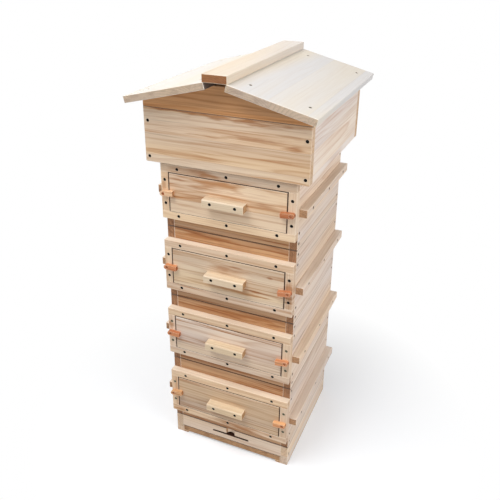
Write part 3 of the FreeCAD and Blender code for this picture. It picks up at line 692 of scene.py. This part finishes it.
def dress_boxes():
    """Gives the wooden nodes of the four boxes their wood."""
    # The side boards are paler and pinker than the fronts as painted light, the cool light that falls
    # on the sides; their ends are browned and their joints darkened as painted shade.
    dress(wood("side_board_wood", "yzx", WALL_MIDDLE, BOX_SIDES, FROM_BOX_SIDE, streaks=0.75,
               light=srgb(236, 223, 213), dark=srgb(186, 148, 120), painted_shade=joint_shade,
               stain_and_shade=end_stain_and_shade(0.6)), *of_boxes("side_boards"))
    # The rails' wood is browner than the other boards' as painted shade in the recesses under the
    # window frames, and their joints are darkened as painted shade.
    dress(wood("end_board_wood", "xzy", WALL_MIDDLE, BOX_RAILS, FROM_BOX_FRONT, streaks=1.2, spread=5.0,
               light=srgb(232, 206, 174), painted_shade=joint_shade, stain_and_shade=stains_and_shade(RAIL_SHADE, RAIL_SHADE_TONE)),
          *of_boxes("end_boards"))
    stiles = (stile_share, "zxy", FRAME_DEPTH, BOX_SIDES, FROM_BOX_SIDE)
    dress(wood("frame_wood", "xzy", FRAME_DEPTH, (0, 0, BOX_HEIGHT / 2), FROM_BOX, stave=FRONT_STAVE,
               streaks=0.7, spread=9.0, light=srgb(238, 222, 202), tones=FRONT_TONES,
               painted_shade=frame_shade, stain_and_shade=stains_and_shade(FRONT_STAINS_AND_SHADE), ends=0.35, highlight=lit_upper_faces(1.0),
               turned=stiles), *of_boxes("window_frame"))
    dress(wood("shutter_wood", "xzy", FRAME_DEPTH, (0, 0, BOX_HEIGHT), FROM_BOX, stave=SHUTTER_STAVE,
               streaks=0.9, spread=14.0, light=srgb(238, 226, 210), tones=SHUTTER_TONES,
               painted_shade=shutter_shade, stain_and_shade=stains_and_shade(FRONT_STAINS_AND_SHADE)), *of_boxes("shutter"))
    dress(wood("handle_wood", "xzy", HANDLE_DEPTH, (0, 0, BOX_HEIGHT), FROM_BOX, stave=WHOLE_BOARD,
               streaks=0.5, spread=19.0, light=srgb(229, 214, 190), dark=srgb(188, 150, 108)),
          *of_boxes("shutter_handle"))
    dress(wood("batten_wood", "yzx", BATTEN_MIDDLE, BOX_SIDES, FROM_BOX_SIDE, stave=WHOLE_BOARD,
               streaks=0.6, spread=23.0, light=srgb(236, 221, 208), dark=srgb(188, 148, 116),
               highlight=lit_upper_faces(0.5)), *of_boxes("battens"))
    dress(wood("top_bar_wood", "yxz", 0.0, (BAR_PITCH, 0, BOX_HEIGHT), FROM_BOX_SIDE,
               stave=WHOLE_BOARD, streaks=0.8, spread=31.0), *of_boxes("top_bars"))
    for side, tones in BUTTON_TONES.items():
        dress(wood(f"button_wood_{side}", "xzy", BUTTON_DEPTH, BOX_SIDES, FROM_BOX_SIDE,
                   stave=WHOLE_BOARD, streaks=0.9, spread=37.0, light=srgb(240, 212, 182),
                   dark=srgb(198, 138, 96), tones=tones), *of_boxes(f"turn_button_{side}"))


def dress_base():
    """Gives the base and its sliding floor board their wood."""
    floor_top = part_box("base_floor")[1].z
    dress(wood("base_side_wood", "yzx", WALL_MIDDLE, SIDES, FROM_SIDE, streaks=0.9, spread=41.0,
               light=srgb(240, 226, 212), dark=srgb(206, 174, 144), painted_shade=joint_shade, ends=0.3),
          "base_side_boards")
    dress(wood("base_end_wood", "xzy", WALL_MIDDLE, ENDS, FROM_FRONT, streaks=0.6, spread=43.0,
               light=srgb(250, 232, 212), painted_shade=base_front_shade),
          "base_front_board", "base_back_board")
    dress(wood("base_floor_wood", "yxz", 0.0, ONE_BOARD, WHOLE, streaks=0.9, spread=47.0,
               light=srgb(240, 224, 204), painted_shade=groove_shade(floor_top, FLOOR_COVER)), "base_floor")
    dress(wood("runner_wood", "yzx", RUNNER_MIDDLE, SIDES, FROM_SIDE, streaks=0.9, spread=53.0),
          "base_runners")


def dress_quilt():
    """Gives the quilt box its wood."""
    turned = (side_share, "yzx", WALL_MIDDLE, SIDES, FROM_SIDE)
    dress(wood("quilt_wood", "xzy", WALL_MIDDLE, ENDS, FROM_FRONT, spread=59.0, turned=turned),
          "quilt_boards")


def dress_roof():
    """Gives the boards of the roof their wood."""
    gable_shade = groove_shade(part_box("roof_end_boards")[1].z, GABLE_COVER)
    dress(wood("roof_end_wood", "xzy", ROOF_WALL_MIDDLE, ROOF_ENDS, FROM_FRONT, stave=ROOF_END_STAVE,
               streaks=0.85, spread=61.0, light=srgb(233, 214, 190), painted_shade=gable_shade,
               stain_and_shade=stains_and_shade(ROOF_STAINS_AND_SHADE), ends=0.3), "roof_end_boards")
    # The gables' wood is darker and browner than the front boards' as painted shade under the panels'
    # overhang.
    dress(wood("gable_wood", "xzy", ROOF_WALL_MIDDLE, ROOF_ENDS, FROM_FRONT, stave=GABLE_STAVE,
               streaks=1.1, spread=67.0, light=srgb(214, 167, 121), painted_shade=gable_shade), "roof_gables")
    # Paler and pinker than the front boards as painted light, the cool light that falls on the sides.
    dress(wood("roof_side_wood", "yzx", ROOF_WALL_MIDDLE, ROOF_SIDES, FROM_SIDE, streaks=0.7,
               spread=71.0, light=srgb(246, 238, 232), dark=srgb(210, 178, 154)), "roof_side_boards")
    dress(wood("roof_panel_wood", "yxz", PANEL_HEIGHT, ROOF_SIDES, FROM_SIDE, stave=PANEL_STAVE,
               streaks=0.16, spread=73.0, light=srgb(224, 224, 224), dark=srgb(202, 186, 170),
               painted_shade=ridge_shade, ends=0.75), "roof_panels")
    dress(wood("ridge_cap_wood", "yxz", PANEL_HEIGHT, ONE_BOARD, WHOLE, stave=WHOLE_BOARD,
               streaks=0.35, spread=79.0, light=srgb(230, 224, 218), dark=srgb(204, 178, 152),
               stain_and_shade=end_stain_and_shade(1.0)), "roof_ridge_cap")
    dress(wood("inner_board_wood", "yxz", INNER_BOARD_HEIGHT, ONE_BOARD, WHOLE, stave=INNER_STAVE,
               spread=83.0), "roof_inner_board")


# Which screws differ. Those further out than BEYOND_HANDLES that stand in front of the window frames
# hold the turn buttons. Those about BUTTON_SCREW to a side are duller on the lowest boxes.

BEYOND_HANDLES = 0.1
IN_FRONT = 0.0005
DULLED_BOXES = 2
DULLED_REACH = 0.008
DULLED_SHARE = 0.55
DULLED = srgb(140, 140, 116)


def turning_screws(g, place):
    """1 on the screws that the turn buttons turn on, 0 on the others."""
    x, y, z = g.split(place)
    low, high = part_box("box_1_window_frame")
    return every(g, g.math("GREATER_THAN", g.math("ABSOLUTE", x), BEYOND_HANDLES),
                 g.math("LESS_THAN", y, low.y - IN_FRONT), g.math("LESS_THAN", z, high.z))


def screw_material():
    """Blackened steel, a little dusty; the screws that the turn buttons turn on are coppered."""
    material, g = new_material("screw_steel")
    place = g.node("ShaderNodeTexCoord").outputs["Object"]
    x, _, z = g.split(place)
    dust = g.noise(place, 900.0, 3.0, 0.6).outputs[0]
    black = g.ramp(dust, (0.40, srgb(10, 8, 7)), (0.66, srgb(24, 19, 16)), (0.80, srgb(70, 64, 52)))
    copper = g.ramp(dust, (0.35, srgb(126, 70, 44)), (0.60, srgb(196, 128, 88)),
                    (0.80, srgb(226, 170, 130)))
    pivots = turning_screws(g, place)
    dulled = every(g, near(g, g.math("ABSOLUTE", x), BUTTON_SCREW, DULLED_REACH),
                   g.math("LESS_THAN", z, BOX_BOTTOM + DULLED_BOXES * BOX_HEIGHT), DULLED_SHARE)
    color = g.mix(pivots, g.mix(dulled, black, DULLED), copper)
    rough = g.ramp(dust, (0.3, 0.38), (0.7, 0.65))
    metal = g.math("MULTIPLY_ADD", pivots, 0.6, 0.15)
    bump = g.node("ShaderNodeBump", {"Height": dust, "Distance": 0.00008, "Strength": 0.4})
    shader = g.node("ShaderNodeBsdfPrincipled", {
        "Base Color": color, "Roughness": rough, "Metallic": metal, "Normal": bump.outputs[0],
        "Specular IOR Level": 0.2})
    g.node("ShaderNodeOutputMaterial", {"Surface": shader.outputs[0]})
    return material


def glass_material():
    """Clear float glass, slightly green, with faint dust."""
    material, g = new_material("window_glass")
    place = g.node("ShaderNodeTexCoord").outputs["Object"]
    dust = g.noise(place, 60.0, 4.0, 0.6).outputs[0]
    rough = g.ramp(dust, (0.45, 0.02), (0.75, 0.12))
    shader = g.node("ShaderNodeBsdfPrincipled", {
        "Base Color": srgb(232, 244, 238), "Roughness": rough, "Transmission Weight": 1.0, "IOR": 1.5})
    g.node("ShaderNodeOutputMaterial", {"Surface": shader.outputs[0]})
    return material


# The quilt's cloth: its grid, its sizes in metres, HEM_WAVE and HEM_SWAY in radians a metre, and how
# much of its full height the hem reaches.

CLOTH_STEPS = 60
HEM_STEPS = 5
THREAD_PITCH = 0.0022
CLOTH_THICKNESS = 0.0008
CLOTH_INSET = 0.0006
CLOTH_LIFT = 0.0011
RUFFLE = 0.0009
RUFFLE_WAVES = 7
HEM_WAVE = 70
HEM_SWAY = 31
HEM_RISE = 0.93
HEM_RISE_MORE = 0.06


def cloth_material():
    """Coarse jute sacking: two crossed sets of threads with slubs."""
    material, g = new_material("quilt_fabric")
    place = g.node("ShaderNodeTexCoord").outputs["Object"]
    slub = g.noise(g.vector("MULTIPLY", place, (30.0, 220.0, 60.0)), 1.0, 2.0).outputs[0]
    pitch = 2 * math.pi / THREAD_PITCH
    x, y, z = g.split(place)
    warp = g.math("SINE", g.math("MULTIPLY", g.math("ADD", x, z), pitch))
    weft = g.math("SINE", g.math("MULTIPLY", g.math("ADD", y, z), pitch))
    weave = g.math("MULTIPLY_ADD", g.math("MAXIMUM", warp, weft), 0.4, slub)
    color = g.ramp(weave, (0.25, srgb(120, 92, 58)), (0.6, srgb(186, 158, 112)),
                   (0.95, srgb(212, 188, 146)))
    bump = g.node("ShaderNodeBump", {"Height": weave, "Distance": 0.0005, "Strength": 0.9})
    shader = g.node("ShaderNodeBsdfPrincipled", {
        "Base Color": color, "Roughness": 0.9, "Normal": bump.outputs[0], "Sheen Weight": 0.2})
    g.node("ShaderNodeOutputMaterial", {"Surface": shader.outputs[0]})
    return material


def cloth_step(step):
    """How far out a row of the cloth's corners is, -1 to 1, and how many rows up the hem it is."""
    flat = min(max(step - HEM_STEPS, 0), CLOTH_STEPS) / CLOTH_STEPS * 2 - 1
    return flat, max(HEM_STEPS - step, step - HEM_STEPS - CLOTH_STEPS, 0)


def cloth_corner(row, column, reach_x, reach_y, bottom, hem, waves):
    """The place of one corner of the cloth's grid: on the ruffled bottom or up its wavy hem."""
    flat_x, up_x = cloth_step(row)
    flat_y, up_y = cloth_step(column)
    x = reach_x * flat_x
    y = reach_y * flat_y
    ruffle = sum(math.sin(a * x + b * y + c) for a, b, c in waves) / len(waves)
    inner = (1 - flat_x ** 8) * (1 - flat_y ** 8)
    rise = hem * (up_x + up_y) / HEM_STEPS
    wave = RUFFLE * math.sin(HEM_WAVE * (x if up_y else y)) * (up_x + up_y) / HEM_STEPS
    sway = HEM_RISE + HEM_RISE_MORE * math.sin(HEM_SWAY * (x + y))
    z = bottom + CLOTH_LIFT + RUFFLE * ruffle * inner + rise * sway
    x -= abs(wave) * math.copysign(1, flat_x) * bool(up_x)
    y -= abs(wave) * math.copysign(1, flat_y) * bool(up_y)
    return x, y, z


def cloth_mesh(reach_x, reach_y, bottom, hem):
    """The cloth as one sheet without thickness. The corners between the hems are cut out."""
    chance = random.Random(4)
    waves = [(chance.uniform(18, 60), chance.uniform(18, 60), chance.uniform(0, 6.28))
             for _ in range(RUFFLE_WAVES)]
    mesh = bmesh.new()
    grid = {}
    count = CLOTH_STEPS + 2 * HEM_STEPS
    for i in range(count + 1):
        for j in range(count + 1):
            if not (cloth_step(i)[1] and cloth_step(j)[1]):
                place = cloth_corner(i, j, reach_x, reach_y, bottom, hem, waves)
                grid[i, j] = mesh.verts.new(place)
    for i in range(count):
        for j in range(count):
            corners = [(i, j), (i + 1, j), (i + 1, j + 1), (i, j + 1)]
            if all(corner in grid for corner in corners):
                mesh.faces.new([grid[corner] for corner in corners])
    data = bpy.data.meshes.new("quilt_sacking")
    mesh.to_mesh(data)
    mesh.free()
    for face in data.polygons:
        face.use_smooth = True
    return data


def quilt_cloth():
    """The quilt's bottom cloth: flat over the bars, slightly ruffled, its hem turned up inside."""
    low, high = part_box("quilt_cloth")
    reach_x = high.x - CLOTH_INSET
    reach_y = high.y - CLOTH_INSET
    hem = high.z - low.z - CLOTH_INSET
    cloth = put_in_scene("quilt_sacking", cloth_mesh(reach_x, reach_y, low.z, hem))
    cloth.data.materials.append(cloth_material())
    thickness = cloth.modifiers.new("thickness", "SOLIDIFY")
    thickness.thickness = CLOTH_THICKNESS
    thickness.offset = 0
    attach(cloth, "quilt")
    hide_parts("quilt_cloth")


# Stage, light and camera. SHADOW_END says how the floor goes over to white with the distance from the
# hive. A lamp has a name, an azimuth and an elevation in degrees, a size, a power and a colour, and it
# stands LAMP_DISTANCE from HIVE_MIDDLE and points there.

FLOOR_REACH = 12.0
SHADOW_END = ((0.25, 0.0), (0.66, 1.0))
WHITE = (1.0, 1.0, 1.0, 1.0)
FLOOR_PAPER = srgb(232, 236, 242)
FLOOR_LIFT = 0.22
FLOOR_BOUNCE = (0.35, 0.33, 0.31, 1.0)
AMBIENT_COLOR = (1.0, 0.96, 0.91, 1.0)
AMBIENT = 0.25
HIVE_MIDDLE = (0, 0, 0.5)
LAMP_DISTANCE = 3.0
LAMPS = (
    ("key_upper_left", -30, 60, 1.8, 67, (1.0, 0.985, 0.96)),
    ("right_wall", 74, 18, 2.2, 53, (0.98, 0.985, 1.0)),
    ("front_fill", 12, 3, 2.0, 22, (1.0, 1.0, 1.0)),
    ("back_fill", -150, 6, 2.2, 28, (1.0, 1.0, 1.0)))


def seen_ray(g):
    """1 for rays that show the floor or the background, 0 for those that carry their light."""
    path = g.node("ShaderNodeLightPath").outputs
    seen = g.math("MAXIMUM", path["Is Camera Ray"], path["Is Glossy Ray"])
    return g.math("MAXIMUM", seen, path["Is Transmission Ray"])


def floor_material():
    """Pale floor that is white away from the hive and keeps the hive's soft shadow near it."""
    material, g = new_material("floor_paper")
    away = g.vector("LENGTH", g.node("ShaderNodeTexCoord").outputs["Object"])
    paper = g.node("ShaderNodeBsdfDiffuse", {"Color": FLOOR_PAPER}).outputs[0]
    lift = g.node("ShaderNodeEmission", {"Color": WHITE, "Strength": FLOOR_LIFT}).outputs[0]
    white = g.node("ShaderNodeEmission", {"Color": WHITE, "Strength": 1.0}).outputs[0]
    beside = g.node("ShaderNodeAddShader", {0: paper, 1: lift}).outputs[0]
    seen = g.node("ShaderNodeMixShader", {0: g.ramp(away, *SHADOW_END), 1: beside, 2: white})
    bounce = g.node("ShaderNodeBsdfDiffuse", {"Color": FLOOR_BOUNCE})
    both = g.node("ShaderNodeMixShader", {0: seen_ray(g), 1: bounce.outputs[0], 2: seen.outputs[0]})
    g.node("ShaderNodeOutputMaterial", {"Surface": both.outputs[0]})
    return material


def make_floor():
    """The floor that the hive stands on."""
    data = bpy.data.meshes.new("floor")
    corners = [(x * FLOOR_REACH, y * FLOOR_REACH, 0) for x, y in ((-1, -1), (1, -1), (1, 1), (-1, 1))]
    data.from_pydata(corners, [], [(0, 1, 2, 3)])
    data.materials.append(floor_material())
    floor = put_in_scene("floor", data)


def make_world():
    """A background that is white where it's seen and lights the hive softly."""
    world = bpy.data.worlds.new("studio")
    bpy.context.scene.world = world
    world.use_nodes = True
    world.node_tree.nodes.clear()
    g = Graph(world.node_tree)
    soft = g.node("ShaderNodeBackground", {"Color": AMBIENT_COLOR, "Strength": AMBIENT})
    white = g.node("ShaderNodeBackground", {"Color": WHITE, "Strength": 1.0})
    both = g.node("ShaderNodeMixShader", {0: seen_ray(g), 1: soft.outputs[0], 2: white.outputs[0]})
    g.node("ShaderNodeOutputWorld", {"Surface": both.outputs[0]})


def make_lights():
    """The large soft lamps around the hive."""
    middle = Vector(HIVE_MIDDLE)
    for name, azimuth, elevation, size, power, color in LAMPS:
        azimuth, elevation = math.radians(azimuth), math.radians(elevation)
        data = bpy.data.lights.new(name, "AREA")
        data.shape = "SQUARE"
        data.size = size
        data.energy = power
        data.color = color
        lamp = put_in_scene(name, data)
        flat = LAMP_DISTANCE * math.cos(elevation)
        rise = LAMP_DISTANCE * math.sin(elevation)
        lamp.location = middle + Vector((flat * math.sin(azimuth), -flat * math.cos(azimuth), rise))
        lamp.rotation_euler = (middle - lamp.location).to_track_quat("-Z", "Y").to_euler()


# The camera as fitted to the photograph: angles in degrees, metres, and pixels of its 500.

PICTURE = 500
CAMERA_AZIMUTH = 22.773
CAMERA_ELEVATION = 24.774
CAMERA_ROLL = 0.645
CAMERA_TARGET = (-0.01941, 0.0, 0.64261)
CAMERA_DISTANCE = 1.61139
FOCAL_PIXELS = 609.593
AXIS_ROW = 217.0
SENSOR = 36.0


def make_camera():
    """The photograph's own view: the hive seen from above and from its right."""
    azimuth, elevation = math.radians(CAMERA_AZIMUTH), math.radians(CAMERA_ELEVATION)
    roll = math.radians(CAMERA_ROLL)
    back = Vector((math.sin(azimuth) * math.cos(elevation),
                   -math.cos(azimuth) * math.cos(elevation), math.sin(elevation)))
    right = (-back).cross(Vector((0, 0, 1))).normalized()
    up = right.cross(-back)
    turned_right = math.cos(roll) * right + math.sin(roll) * up
    turned_up = math.cos(roll) * up - math.sin(roll) * right
    data = bpy.data.cameras.new("photo_camera")
    data.sensor_width = SENSOR
    data.lens = FOCAL_PIXELS / PICTURE * SENSOR
    data.shift_y = (AXIS_ROW - PICTURE / 2) / PICTURE
    camera = put_in_scene("photo_camera", data)
    turn = Matrix((turned_right, turned_up, back)).transposed()
    place = Vector(CAMERA_TARGET) + back * CAMERA_DISTANCE
    camera.matrix_world = Matrix.Translation(place) @ turn.to_4x4()
    bpy.context.scene.camera = camera


dress_boxes()
dress_base()
dress_quilt()
dress_roof()
dress(screw_material(), *of_boxes("screws"), "base_screws", "quilt_screws", "roof_screws")
dress(glass_material(), *of_boxes("window_pane"))
quilt_cloth()
make_floor()
make_world()
make_lights()
make_camera()
bpy.context.scene.view_settings.view_transform = "Standard"
